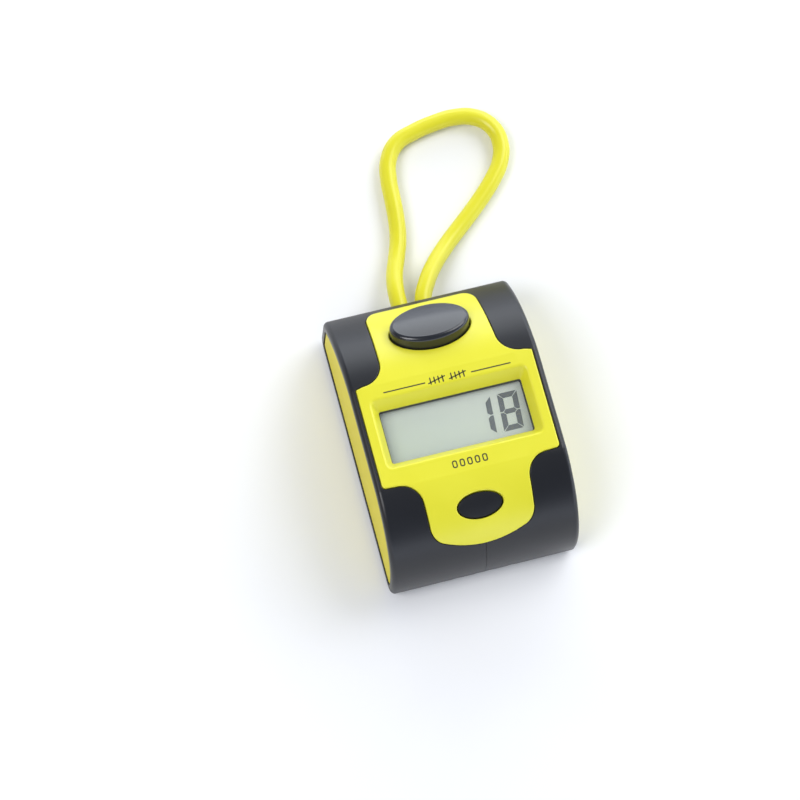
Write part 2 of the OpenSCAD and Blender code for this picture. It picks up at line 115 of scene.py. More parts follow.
back = Vector((-sin(FROM_LEFT) * cos(FROM_BELOW), -sin(FROM_BELOW), cos(FROM_LEFT) * cos(FROM_BELOW)))
level = Vector((0, 1, 0)).cross(back).normalized()
upright = back.cross(level)
right = level * cos(ROLL) - upright * sin(ROLL)
up = level * sin(ROLL) + upright * cos(ROLL)
turn = Matrix((right, up, back)).transposed().to_4x4()
aim = Vector((tan(ASIDE), -tan(BELOW), -1)).rotation_difference(DOWN)
camera_data = bpy.data.cameras.new("camera")
camera_data.lens = LENS_MM
camera_data.sensor_width = 36.0
camera_data.clip_start = 0.01
camera = new_object("camera", camera_data)
camera.matrix_world = Matrix.Translation(TARGET + back * DISTANCE) @ turn @ aim.to_matrix().to_4x4()
bpy.context.scene.camera = camera


# ---- materials
def set_inputs(node, values):
    """Sets constants on a node's sockets, named with _ for a space."""
    for key, value in values.items():
        node.inputs[key.replace("_", " ")].default_value = value


def new_material(name, **inputs):
    """A Principled material with constants set on its own sockets."""
    m = bpy.data.materials.new(name)
    m.use_nodes = True
    shader = m.node_tree.nodes["Principled BSDF"]
    set_inputs(shader, inputs)
    return m, m.node_tree, shader


def output(tree, kind, links, result, operation=None, **inputs):
    """The result of a new shader node with these links and constants on its sockets."""
    node = tree.nodes.new("ShaderNode" + kind)
    if operation:
        node.operation = operation
    set_inputs(node, inputs)
    for key, source in links.items():
        tree.links.new(source, node.inputs[key])
    return node.outputs[result]


def noise(tree, scale, detail=3.0, stretch=(1, 1, 1)):
    """Noise in object coordinates. scale is in features per metre."""
    coords = output(tree, "TexCoord", {}, "Object")
    place = output(tree, "Mapping", {"Vector": coords}, "Vector", Scale=stretch)
    return output(tree, "TexNoise", {"Vector": place}, "Fac", Scale=scale, Detail=detail)


def ramp(tree, value, stops):
    """Colours by value, from (position, colour) stops."""
    node = tree.nodes.new("ShaderNodeValToRGB")
    elements = node.color_ramp.elements
    while len(elements) < len(stops):
        elements.new(0.5)
    for element, (at, color) in zip(elements, stops):
        element.position = at
        element.color = (*color, 1)
    tree.links.new(value, node.inputs["Fac"])
    return node.outputs["Color"]


def tint(tree, shader, value, low, high, start=0.3, end=0.7):
    """Base colour that goes from low to high with the value."""
    tree.links.new(ramp(tree, value, [(start, low), (end, high)]), shader.inputs["Base Color"])


def gloss(tree, shader, value, low, high):
    """Roughness that goes from low to high with a noise value."""
    rough = output(tree, "MapRange", {"Value": value}, "Result",
                   From_Min=0.3, From_Max=0.7, To_Min=low, To_Max=high)
    tree.links.new(rough, shader.inputs["Roughness"])


def bumps(tree, shader, *layers):
    """Bump from one or more (height, strength, distance in metres)."""
    links = {}
    for height, strength, distance in layers:
        links["Height"] = height
        links["Normal"] = output(tree, "Bump", links, "Normal", Strength=strength, Distance=distance)
    tree.links.new(links["Normal"], shader.inputs["Normal"])


def moulded(name, dark, light, rough, grain, grain_depth, wave=0.0, **inputs):
    """Moulded plastic or rubber: slow colour drift, fine grain and a slight flow wave."""
    m, tree, shader = new_material(name, **inputs)
    tint(tree, shader, noise(tree, 90, 2), dark, light)
    fine = noise(tree, grain, 2)
    gloss(tree, shader, fine, *rough)
    layers = []
    if grain_depth:
        layers.append((fine, 0.5, grain_depth))
    if wave:
        layers.append((noise(tree, 160, 1), 0.3, wave))
    bumps(tree, shader, *layers)
    return m


def metal(name, dark, light, rough, brushed):
    """Metal with fine streaks, stretched by brushed."""
    m, tree, shader = new_material(name, Metallic=1.0)
    streaks = noise(tree, 900, 4, brushed)
    tint(tree, shader, streaks, dark, light)
    gloss(tree, shader, streaks, *rough)
    bumps(tree, shader, (streaks, 0.3, 0.00001))
    return m


BLACK = moulded("black_abs", (0.006, 0.0066, 0.0095), (0.008, 0.0088, 0.012), (0.32, 0.38), 5200, 0.00001)
YELLOW = moulded("yellow_abs", (0.755, 0.715, 0.03), (0.785, 0.745, 0.04), (0.285, 0.315), 900, 0, 0.00001)
# Painted shade: the side covers' yellow is darker and more orange than the faceplate's, as if the sides stood
# in shadow.
SIDE_YELLOW_PAINTED_SHADE = moulded("side_yellow_abs_painted_shade", (0.66, 0.565, 0.018), (0.69, 0.60, 0.026), (0.40, 0.45),
                      900, 0, 0.00001, Specular_IOR_Level=0.15)
KEY = moulded("key_black", (0.010, 0.012, 0.016), (0.014, 0.016, 0.021), (0.20, 0.26),
              2400, 0.000004, 0.00001, Coat_Weight=0.35, Coat_Roughness=0.12)
NUB = moulded("nub_rubber", (0.006, 0.0065, 0.009), (0.009, 0.010, 0.013), (0.42, 0.50),
              4200, 0.000006, Specular_IOR_Level=0.35)
CORD = moulded("cord_pvc", (0.74, 0.69, 0.02), (0.77, 0.725, 0.028), (0.30, 0.34), 900, 0, 0.00002)
INK = moulded("print_ink", (0.035, 0.034, 0.012), (0.05, 0.048, 0.018), (0.45, 0.60), 4000, 0.000004)
BORDER = moulded("window_border", (0.012, 0.013, 0.014), (0.018, 0.019, 0.020), (0.35, 0.45), 3000, 0.000003)
SEGMENT = moulded("display_segment", (0.058, 0.072, 0.084), (0.068, 0.084, 0.096), (0.35, 0.45),
                  3000, 0.000002)
WHITE = moulded("white_abs", (0.62, 0.63, 0.60), (0.68, 0.69, 0.66), (0.40, 0.50), 2500, 0.00001)
ZEBRA = moulded("zebra_silicone", (0.08, 0.08, 0.09), (0.16, 0.16, 0.18), (0.50, 0.60), 4000, 0.00001)
EPOXY = moulded("potting_epoxy", (0.008, 0.008, 0.009), (0.014, 0.014, 0.015), (0.25, 0.35), 800, 0.00003)
CERAMIC = moulded("component_body", (0.30, 0.24, 0.15), (0.42, 0.34, 0.22), (0.40, 0.55), 3000, 0.00001)
DOME = moulded("dome_silicone", (0.50, 0.50, 0.47), (0.56, 0.56, 0.53), (0.45, 0.60), 2500, 0.00001)
ANCHOR = moulded("anchor_nylon", (0.025, 0.025, 0.03), (0.035, 0.035, 0.04), (0.45, 0.55), 3000, 0.00001)
STEEL = metal("plated_steel", (0.50, 0.51, 0.52), (0.66, 0.67, 0.68), (0.22, 0.34), (1, 1, 1))
SPRING = metal("spring_strip", (0.52, 0.53, 0.52), (0.70, 0.70, 0.68), (0.25, 0.38), (1, 8, 1))
COPPER = metal("tinned_copper", (0.62, 0.40, 0.26), (0.74, 0.50, 0.34), (0.25, 0.35), (1, 1, 6))


def board_material():
    m, tree, shader = new_material("solder_mask")
    traces = output(tree, "TexBrick", {"Vector": output(tree, "TexCoord", {}, "Object")}, "Color",
                    Scale=900, Color1=(0.018, 0.16, 0.055, 1), Color2=(0.024, 0.19, 0.07, 1),
                    Mortar=(0.035, 0.27, 0.1, 1))
    tree.links.new(traces, shader.inputs["Base Color"])
    fine = noise(tree, 3000, 2)
    gloss(tree, shader, fine, 0.30, 0.42)
    bumps(tree, shader, (fine, 0.3, 0.00001))
    return m


def ground_with_painted_light(name, low, high, **inputs):
    """The grey-green ground of the display, with painted light that makes it a little lighter towards its
    upper right corner, which the recess walls shade.
    """
    m, tree, shader = new_material(name, Specular_IOR_Level=0.3, **inputs)
    # Painted light: the base colour grows lighter towards the upper right.
    slope = tree.nodes.new("ShaderNodeVectorMath")
    slope.operation = "DOT_PRODUCT"
    slope.inputs[1].default_value = (14.0, 40.0, 0)
    tree.links.new(output(tree, "TexCoord", {}, "Object"), slope.inputs[0])
    # Adding a half puts the middle of the display in the middle of the ramp.
    painted_light_lift = tree.nodes.new("ShaderNodeMath")
    painted_light_lift.operation = "ADD"
    painted_light_lift.inputs[1].default_value = 0.5
    tree.links.new(slope.outputs["Value"], painted_light_lift.inputs[0])
    tint(tree, shader, painted_light_lift.outputs["Value"], low, high, 0.15, 0.85)
    fine = noise(tree, 6000, 1)
    gloss(tree, shader, fine, 0.45, 0.60)
    bumps(tree, shader, (fine, 0.2, 0.000001))
    m.surface_render_method = "BLENDED" if "Alpha" in inputs else "DITHERED"
    return m


def clear_material(name, color, alpha, rough):
    """A thin clear sheet that lets the display through."""
    m, tree, shader = new_material(name, Alpha=alpha)
    fine = noise(tree, 500, 1)
    tint(tree, shader, fine, color, tuple(min(1, c * 1.03) for c in color))
    gloss(tree, shader, fine, rough, rough + 0.03)
    m.surface_render_method = "BLENDED"
    return m


BOARD = board_material()
# Both display grounds carry the painted light, lighter towards the upper right.
FOIL = ground_with_painted_light("display_foil", (0.62, 0.70, 0.60), (0.72, 0.79, 0.72))
LENS = clear_material("clear_acrylic", (0.90, 0.94, 0.93), 0.04, 0.05)
GLASS = clear_material("display_glass", (0.80, 0.86, 0.82), 0.02, 0.06)
REAR_GLASS = ground_with_painted_light("display_rear_glass", (0.59, 0.665, 0.58), (0.78, 0.84, 0.77), Alpha=0.8)


# ---- the case's side profile
def line_run(y0, z0, y1, z1):
    length = hypot(y1 - y0, z1 - z0)
    way = ((y1 - y0) / length, (z1 - z0) / length)
    return {"length": length, "from": (y0, z0), "way": way, "step": 2.6}


def arc_run(y, z, r, a0, a1, step):
    return {"length": r * (a0 - a1), "centre": (y, z), "r": r, "a0": a0, "step": step}


SEAM_Y = 8.0              # where the profile starts and ends, in the middle of the back
RUNS = [
    line_run(SEAM_Y, 0, BACK_R - HALF_L, 0),
    arc_run(BACK_R - HALF_L, BACK_R, BACK_R, rad(270), rad(180), 0.45),
    line_run(-HALF_L, BACK_R, -HALF_L, LOWER_Z),
    arc_run(LOWER_Y, LOWER_Z, LOWER_R, rad(180), rad(90) + LOWER_SLOPE, 0.9),
    line_run(LOWER_START, FRONT_Z, UPPER_START, FRONT_Z),
    arc_run(UPPER_Y, UPPER_Z, UPPER_R, rad(90) - UPPER_SLOPE, END_ANGLE, 1.2),
    arc_run(END_Y, END_Z, END_R, END_ANGLE, 0, 0.45),
    line_run(HALF_L, END_Z, HALF_L, BACK_R),
    arc_run(HALF_L - BACK_R, BACK_R, BACK_R, 0, rad(-90), 0.45),
    line_run(HALF_L - BACK_R, 0, SEAM_Y, 0)]
FLAT = 4                  # the run that is the flat front, where s equals y
start = LOWER_START - sum(run["length"] for run in RUNS[:FLAT])
S_MIN = start
for run in RUNS:
    run["s"] = start
    start += run["length"]
S_MAX = start
CREASES = (LOWER_START, UPPER_START)


def run_at(s):
    for run in RUNS:
        if s <= run["s"] + run["length"]:
            return run
    return RUNS[-1]


def on_run(run, s):
    """Point and outward normal (y, z) on the profile."""
    d = s - run["s"]
    if "way" in run:
        (y, z), (wy, wz) = run["from"], run["way"]
        return (y + wy * d, z + wz * d), (-wz, wy)
    a = run["a0"] - d / run["r"]
    (y, z), r = run["centre"], run["r"]
    return (y + r * cos(a), z + r * sin(a)), (cos(a), sin(a))


def normal(s):
    s = min(max(s, S_MIN), S_MAX)
    for crease in CREASES:
        if abs(s - crease) < CREASE:
            k = (s - crease + CREASE) / (2 * CREASE)
            _, a = on_run(run_at(crease - CREASE), crease - CREASE)
            _, b = on_run(run_at(crease + CREASE), crease + CREASE)
            return Vector((0, a[0] * (1 - k) + b[0] * k, a[1] * (1 - k) + b[1] * k)).normalized()
    _, n = on_run(run_at(s), s)
    return Vector((0, n[0], n[1]))


def tangent(s):
    n = normal(s)
    return Vector((0, n.z, -n.y))


def point(x, s, h=0.0):
    """The point at x, at s along the profile and h above it."""
    s = min(max(s, S_MIN), S_MAX)
    (y, z), _ = on_run(run_at(s), s)
    return Vector((x, y, z)) + normal(s) * h


def front_s(y, h=0.0):
    """Where along the profile the front, grown by h, has this y."""
    if y > UPPER_START:
        a = asin(min(1, (y - UPPER_Y) / (UPPER_R + h)))
        return UPPER_START + UPPER_R * (a - UPPER_SLOPE)
    if y < LOWER_START:
        a = asin(min(1, (LOWER_Y - y) / (LOWER_R + h)))
        return LOWER_START - LOWER_R * (a - LOWER_SLOPE)
    return y


def rows(s0, s1):
    """Values of s from s0 to s1, close together where the profile bends."""
    found = [s0, s1]
    for run in RUNS:
        count = max(1, ceil(run["length"] / run["step"]))
        found += [run["s"] + run["length"] * i / count for i in range(count + 1)]
    for crease in CREASES:
        found += [crease - CREASE, crease + CREASE]
    found = sorted(s for s in found if s0 <= s <= s1)
    kept = [found[0]]
    for s in found[1:]:
        if s - kept[-1] > 0.12:
            kept.append(s)
    kept[-1] = s1
    return kept


# ---- mesh building
class Shape:
    """A mesh in mm. Points that coincide are shared, and each face corner keeps its own normal."""

    def __init__(self, side=1):
        self.points, self.index, self.faces, self.normals = [], {}, [], []
        self.side = side

    def add(self, p):
        key = (round(p[0], 3), round(p[1], 3), round(p[2], 3))
        if key not in self.index:
            self.index[key] = len(self.points)
            self.points.append(Vector(p))
        return self.index[key]

    def face(self, corners):
        if self.side < 0:
            corners = [(Vector((-p[0], p[1], p[2])), Vector((-n[0], n[1], n[2]))) for p, n in corners]
        ids, ns = [], []
        for p, n in corners:
            i = self.add(p)
            if i not in ids:
                ids.append(i)
                ns.append(Vector(n))
        if len(ids) < 3:
            return
        around = facing_of([self.points[i] for i in ids])
        if around.length < 1e-7:
            return
        if around.dot(sum(ns, Vector((0, 0, 0)))) < 0:
            ids.reverse()
            ns.reverse()
        self.faces.append(ids)
        self.normals.append([n.normalized() if n.length > 0 else around.normalized() for n in ns])

    def strip(self, a, b, edges=None):
        """Quads between two rings of (point, normal, ...) corners."""
        count = len(a)
        for i in range(count):
            j = (i + 1) % count
            if edges is None or edges[i]:
                self.face([a[i][:2], a[j][:2], b[j][:2], b[i][:2]])

    def rings(self, rings, edges=None):
        for a, b in zip(rings, rings[1:]):
            self.strip(a, b, edges)

    def cap(self, ring, n):
        self.face([(corner[0], n) for corner in ring])

    def flat_faces(self, polygons):
        """Adds polygons of points, each with its own flat normal."""
        for polygon in polygons:
            around = facing_of(polygon)
            if around.length > 1e-9:
                self.face([(p, around) for p in polygon])

    def fill(self, loops, h, facing, step=2.2):
        """Closes a sheet between loops of (point, normal, (x, s)) corners. The first loop is outermost."""
        coords, corners, edges = [], [], []
        for loop in loops:
            base = len(coords)
            for p, _, flat in loop:
                coords.append(Vector(flat))
                corners.append((p, normal(flat[1]) * facing))
            edges += [(base + i, base + (i + 1) % len(loop)) for i in range(len(loop))]
        for x, s in inner_points(loops, step):
            coords.append(Vector((x, s)))
            corners.append((point(x, s, h), normal(s) * facing))
        out, _, triangles, origin, _, _ = delaunay_2d_cdt(coords, edges, [], 0, 1e-5)
        middles = [sum((out[i] for i in triangle), Vector((0, 0))) / 3 for triangle in triangles]
        for triangle, kept in zip(triangles, within(loops, middles, 0)):
            if kept:
                self.face([corners[origin[i][0]] if origin[i] else
                           (point(out[i].x, out[i].y, h), normal(out[i].y) * facing) for i in triangle])

    def turned(self, outline, place, count, sharp=rad(40)):
        """A closed solid of revolution from its (r, z) outline, which starts and ends on the axis."""
        turn = place.to_3x3()
        ways = []
        for (r0, z0), (r1, z1) in zip(outline, outline[1:]):
            length = hypot(r1 - r0, z1 - z0)
            ways.append((-(z1 - z0) / length, (r1 - r0) / length))
        for i, (a, b) in enumerate(zip(outline, outline[1:])):
            ends = []
            for k, other in ((i, i - 1), (i, i + 1)):
                n = Vector(ways[k])
                if 0 <= other < len(ways) and n.angle(Vector(ways[other])) < sharp:
                    n = (n + Vector(ways[other])).normalized()
                ends.append(n)
            rings = []
            for (r, z), n in zip((a, b), ends):
                rings.append([(place @ Vector((r * c, r * s, z)), turn @ Vector((n.x * c, n.x * s, n.y)))
                              for c, s in circle(count)])
            self.strip(*rings)

    def box(self, low, high, r):
        """A block with chamfered edges."""
        middle, half = (low + high) / 2, (high - low) / 2

        def signed(axis, along, a, b):
            signs = Vector((0, 0, 0))
            signs[axis], signs[(axis + 1) % 3], signs[(axis + 2) % 3] = along, a, b
            return signs

        def corner(signs, flush):
            """The point near a corner that lies in the face across the flush axis."""
            return Vector([middle[k] + signs[k] * (half[k] - (0 if k == flush else r)) for k in range(3)])

        for axis in range(3):
            u, v = (axis + 1) % 3, (axis + 2) % 3
            for side in (-1, 1):
                self.face([(corner(signed(axis, side, a, b), axis), signed(axis, side, 0, 0))
                           for a, b in ((-1, -1), (1, -1), (1, 1), (-1, 1))])
            for a, b in itertools.product((-1, 1), repeat=2):
                self.face([(corner(signed(axis, end, a, b), over), signed(axis, 0, a, b))
                           for end, over in ((-1, u), (1, u), (1, v), (-1, v))])
        for signs in itertools.product((-1, 1), repeat=3):
            self.face([(corner(signs, axis), signs) for axis in range(3)])

    def make(self, name, material, slot, *replaced, body="case"):
        mesh = bpy.data.meshes.new(name)
        mesh.from_pydata([p * MM for p in self.points], [], self.faces)
        mesh.materials.append(material)
        mesh.polygons.foreach_set("use_smooth", [True] * len(self.faces))
        mesh.normals_split_custom_set([n for face in self.normals for n in face])
        piece = new_object(name, mesh)
        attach(piece, body)
        if replaced:
            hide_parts(*replaced)
        return piece


def facing_of(points):
    """A vector along a polygon's normal, twice as long as its area."""
    return sum((points[i - 1].cross(points[i]) for i in range(len(points))), Vector((0, 0, 0)))


def within(loops, places, clear):
    """Which places (x, s) lie inside the first loop and outside the others, clear of their edges."""
    starts = np.array([c[2] for loop in loops for c in loop], float)
    ends = np.array([c[2] for loop in loops for c in loop[1:] + loop[:1]], float)
    way = ends - starts
    size = np.maximum((way ** 2).sum(1), 1e-12)
    rise = np.where(way[:, 1] == 0, 1, way[:, 1])
    kept = []
    for p in np.array([tuple(p) for p in places], float):
        cuts = (starts[:, 1] > p[1]) != (ends[:, 1] > p[1])
        at = starts[:, 0] + (p[1] - starts[:, 1]) / rise * way[:, 0]
        inside = int((cuts & (at > p[0])).sum()) % 2 == 1
        if inside and clear:
            t = np.clip(((p - starts) * way).sum(1) / size, 0, 1)
            inside = bool(np.sqrt((((starts + way * t[:, None]) - p) ** 2).sum(1)).min() >= clear)
        kept.append(inside)
    return kept


def inner_points(loops, step):
    """Grid points inside the first loop and outside the others, clear of their edges."""
    flat = np.array([c[2] for loop in loops for c in loop], float)
    low, high = flat.min(0), flat.max(0)
    grid = []
    for s in rows(max(low[1], S_MIN), min(high[1], S_MAX)):
        for i in range(ceil(low[0] / step), int(high[0] / step) + 1):
            grid.append((step * i, s))
    return [p for p, kept in zip(grid, within(loops, grid, 0.3)) if kept]


def circle(count, way=1):
    """Cosine and sine at even steps round a circle, anticlockwise unless way is -1."""
    angles = [way * 2 * pi * i / count for i in range(count)]
    return [(cos(a), sin(a)) for a in angles]


def across(a, b, c, s):
    """The outward normal of an ellipse with half axes a and b, at the angle of this cosine and sine."""
    return Vector((c * b, s * a, 0)).normalized()


def arc(x, y, r, a0, a1, n, first=0):
    """Points on an arc, angles in degrees."""
    angles = [rad(a0 + (a1 - a0) * i / n) for i in range(first, n + 1)]
    return [(x + r * cos(a), y + r * sin(a)) for a in angles]


def rounded(half_w, low, high, r, n=6):
    """A rounded rectangle, anticlockwise, with the same number of points whatever its size."""
    side, bottom, top = half_w - r, low + r, high - r
    found = []
    for x, y, a in ((side, bottom, 270), (side, top, 0), (-side, top, 90), (-side, bottom, 180)):
        found += arc(x, y, r, a, a + 90, n)
    sides = []
    for i, (x, y) in enumerate(found):
        sides.append((x, y))
        if i % (n + 1) == n:
            nx, ny = found[(i + 1) % len(found)]
            count = 12 if abs(nx - x) > abs(ny - y) else 8
            sides += [(x + (nx - x) * k / count, y + (ny - y) * k / count) for k in range(1, count)]
    return sides


def divided(points, longest, closed=True):
    """The same outline with its long edges divided."""
    found = []
    for i in range(len(points) if closed else len(points) - 1):
        (x0, y0), (x1, y1) = points[i], points[(i + 1) % len(points)]
        count = max(1, ceil(hypot(x1 - x0, y1 - y0) / longest))
        found += [(x0 + (x1 - x0) * k / count, y0 + (y1 - y0) * k / count) for k in range(count)]
    return found if closed else found + [points[-1]]


def with_normals(points, free=None):
    """Adds to each point of a closed outline its mitred normal, to the right of its direction.

    An edge that is free has no rim, and the points on it take the other edge's normal or none.
    """
    count = len(points)
    found = []
    for i, (x, y) in enumerate(points):
        (x0, y0), (x1, y1) = points[i - 1], points[(i + 1) % count]
        a = Vector((y - y0, x0 - x)).normalized()
        b = Vector((y1 - y, x - x1)).normalized()
        before, after = (free[i - 1], free[i]) if free else (False, False)
        if before and after:
            n = Vector((0, 0))
        elif before or after:
            n = b if before else a
        else:
            n = (a + b).normalized()
            n /= max(0.5, n.dot(a))
        found.append((x, y, n.x, n.y))
    return found


def quarter(r, h, n=4):
    """A rounded upper edge as (out, h, tilt) from the face to the wall."""
    tilts = [rad(90 * i / n) for i in range(n, -1, -1)]
    return [(r * (cos(tilt) - 1), h + r * (sin(tilt) - 1), tilt) for tilt in tilts]


def rim(loop, section, radii=None):
    """Rings of an edge. loop has (x, s, nx, ns), section has (out, h, tilt), and radii scale it by point."""
    rings = []
    for out, h, tilt in section:
        ring = []
        for (x, s, nx, ns), r in zip(loop, radii or [1] * len(loop)):
            if nx == 0 and ns == 0:
                ring.append((point(x, s), normal(s), (x, s)))
                continue
            xx, ss = x + out * r * nx, s + out * r * ns
            t = tangent(ss)
            outward = Vector((nx, ns * t.y, ns * t.z)).normalized()
            n = normal(ss) * sin(tilt) + outward * cos(tilt)
            ring.append((point(xx, ss, h * r), n, (xx, ss)))
        rings.append(ring)
    return rings


def ringed(loop, z, out=0, n_out=1, n_up=0):
    """Corners at one height from (x, y, nx, ny), with normals that lean by n_out and n_up."""
    return [(Vector((x + nx * out, y + ny * out, z)), Vector((nx * n_out, ny * n_out, n_up)), (x, y))
            for x, y, nx, ny in loop]


# ---- lanyard cord
ROUTE = [
    (-2.4, 21, 5.5), (-2.4, 28, 5.5), (-2.2, 31.6, 4.9), (-1.4, 35.2, 3.7), (0, 38.8, 2.5),
    (1.4, 42.6, 1.9), (2.2, 46.8, 1.8), (2.6, 51.2, 1.8), (2.9, 55.4, 1.8), (3.9, 59.5, 1.8),
    (6.5, 62.8, 1.8), (10.4, 64.3, 1.8), (14.8, 65.2, 1.8), (19.3, 65.5, 1.8), (23.4, 64.5, 1.8),
    (26.2, 61.8, 1.8), (27, 58, 1.8), (25.9, 54.2, 1.8), (23.4, 50.8, 1.8), (20.2, 47.6, 1.8),
    (16.8, 44.6, 1.8), (13.3, 41.7, 1.9), (9.9, 38.7, 2.5), (6.8, 35.4, 3.7), (4.2, 31.8, 4.9),
    (2.4, 28, 5.5), (2.4, 21, 5.5)]


def make_cord():
    data = bpy.data.curves.new("lanyard_cord", "CURVE")
    data.dimensions = "3D"
    data.bevel_depth = CORD_D / 2 * MM
    data.bevel_resolution = 10
    data.resolution_u = 8
    data.use_fill_caps = True
    spline = data.splines.new("BEZIER")
    spline.bezier_points.add(len(ROUTE) - 1)
    for knot, place in zip(spline.bezier_points, ROUTE):
        knot.co = Vector(place) * MM
        knot.handle_left_type = knot.handle_right_type = "AUTO"
    data.materials.append(CORD)
    piece = new_object("lanyard_cord", data)
    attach(piece, "case")
    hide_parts("lanyard_loop")


make_cord()


# ---- faceplate
def half_outline():
    """The faceplate's right half in (x, y), from the lower tab's middle to the upper tab's middle."""
    edge_r, tab_r, tab_half, tab_end = 25.0, 3.0, 10.1, -24.1
    corner_x = tab_half - tab_r
    corner_y = tab_end + edge_r - sqrt((edge_r - tab_r) ** 2 - corner_x ** 2)
    corner_a = 270 + degrees(asin(corner_x / (edge_r - tab_r)))
    hollow_r = 4.4
    # The lower tab's end and corner, a hollow, the ears' corners, a hollow, and the upper tab's corner.
    points = (arc(0, tab_end + edge_r, edge_r, 270, corner_a, 8)
              + arc(corner_x, corner_y, tab_r, corner_a, 360, 10, 1)
              + arc(14.7, -15.55, hollow_r, 180, 90, 16)
              + arc(16.6, -10.35, 0.7, 270, 360, 6)
              + arc(16.9, 8.45, 0.4, 0, 90, 5)
              + arc(15.8, 13.55, hollow_r, 270, 180, 16)
              + arc(8.5, 23.1, 2.5, 0, 90, 9)
              + [(0, 25.6)])
    return divided(points, 0.8, closed=False)


UNDERSIDE = [(0, PLATE_LOW, 0), (0, PLATE_LOW, rad(-90))]  # section from a wall to the plate's underside
HALF = half_outline()
PLATE = [(x, front_s(y, PROUD)) for x, y in HALF + [(-x, y) for x, y in HALF[-2:0:-1]]]

# The count button's own frame has its origin on the case's surface and z out of it.
COUNT_TILT = asin((COUNT_Y - UPPER_Y) / UPPER_R)
COUNT_S = UPPER_START + UPPER_R * (COUNT_TILT - UPPER_SLOPE)
COUNT_AT = Vector((0, COUNT_Y, UPPER_Z + UPPER_R * cos(COUNT_TILT)))
COUNT_FRAME = Matrix.Translation(COUNT_AT) @ Matrix.Rotation(-COUNT_TILT, 4, "X")
COUNT_TURN = COUNT_FRAME.to_3x3()


def ellipse_hole(a0, b0, count, bevel, turn, s_at):
    """Rings of a button's hole. turn gives the way of its wall, and s_at(y, h) its place on the profile."""
    rings = []
    for out, h, tilt in quarter(bevel, PROUD) + UNDERSIDE:
        ring = []
        a, b = a0 + BUTTON_GAP - out, b0 + BUTTON_GAP - out
        for c, d in circle(count, -1):
            x, s = a * c, s_at(b * d, h)
            n = normal(s) * sin(tilt) - (turn @ across(a, b, c, d)) * cos(tilt)
            ring.append((point(x, s, h), n, (x, s)))
        rings.append(ring)
    return rings


def recess_rings():
    """Rings of the sloped recess, from the plate's face down to the window and back up round the tub."""
    top = with_normals(rounded(RECESS_HALF_W, RECESS_BOTTOM, RECESS_TOP, 1.2))
    bottom = rounded(WINDOW_HALF_W, WINDOW_Y - WINDOW_HALF_H, WINDOW_Y + WINDOW_HALF_H, 0.5)
    soft, wall = 0.4, 1.0
    rings = []
    # The softened edge, as a curve from the plate's face into the slope.
    for k in range(5):
        t = k / 4
        ring = []
        for (x, y, nx, ny), (bx, by) in zip(top, bottom):
            edge = Vector((x, y, FACE_Z))
            away = Vector((nx, ny, 0))
            down = (Vector((bx, by, WINDOW_Z)) - edge).normalized()
            p = (edge + away * soft) * (1 - t) ** 2 + edge * 2 * t * (1 - t) + (edge + down * soft) * t ** 2
            lean = acos(max(-1, min(1, -down.z))) if down.z < 0 else 0
            slope = (rad(90) - lean) * t
            n = UP * cos(slope) - away.normalized() * sin(slope)
            ring.append((p, n, (p.x, p.y)))
        rings.append(ring)
    # Down the slope, round the window's opening, and up the outside.
    rings.append([(Vector((x, y, WINDOW_Z + 0.08)), corner[1], (x, y))
                  for (x, y), corner in zip(bottom, rings[-1])])
    inward = with_normals(bottom)
    for out, n_out, n_up in ((-0.05, -1, 0), (-0.05, 0, -1), (wall, 0, -1), (wall, 1, -0.5)):
        rings.append(ringed(inward, WINDOW_Z, out, n_out, n_up))
    outer = []
    low_z = FRONT_Z + PLATE_LOW
    share = (low_z - WINDOW_Z) / (FACE_Z - WINDOW_Z)
    for (x, y, nx, ny), (bx, by, cx, cy) in zip(top, inward):
        p = Vector((bx + cx * wall + (x - bx) * share, by + cy * wall + (y - by) * share, low_z))
        outer.append((p, Vector((nx, ny, -0.5)), (p.x, p.y)))
    rings.append(outer)
    return rings


def make_faceplate():
    shape = Shape()
    edge = rim(with_normals(PLATE), quarter(0.28, PROUD, 5) + UNDERSIDE)
    count_hole = ellipse_hole(COUNT_A, COUNT_B, 96, 0.3, COUNT_TURN,
                              lambda y, h: COUNT_S + UPPER_R * asin(y / (UPPER_R + h)))
    reset_hole = ellipse_hole(RESET_A, RESET_B, 64, 0.25, Matrix.Identity(3),
                              lambda y, h: front_s(RESET_Y + y, h))
    loops = [edge, count_hole, reset_hole, recess_rings()]
    for rings in loops:
        shape.rings(rings)
    shape.fill([rings[0] for rings in loops], PROUD, 1)
    shape.fill([rings[-1] for rings in loops], PLATE_LOW, -1, 3.0)
    # Posts for the board screws, from the plate down to the board, each with its hole.
    end, hole_end, root = BOARD_TOP, BOARD_TOP + 5.5, WINDOW_Z + 1
    outline = [(0, root), (1.4, root), (1.4, end + 0.1), (1.3, end), (0.75, end), (0.68, end + 0.1),
               (0.68, hole_end), (0, hole_end)]
    for y, x in itertools.product((8.6, -10.9), (-8.2, 8.2)):
        shape.turned(outline, Matrix.Translation((x, y, 0)), 24)
    shape.make("faceplate_moulding", YELLOW, "yellow_plastic", "faceplate")


make_faceplate()


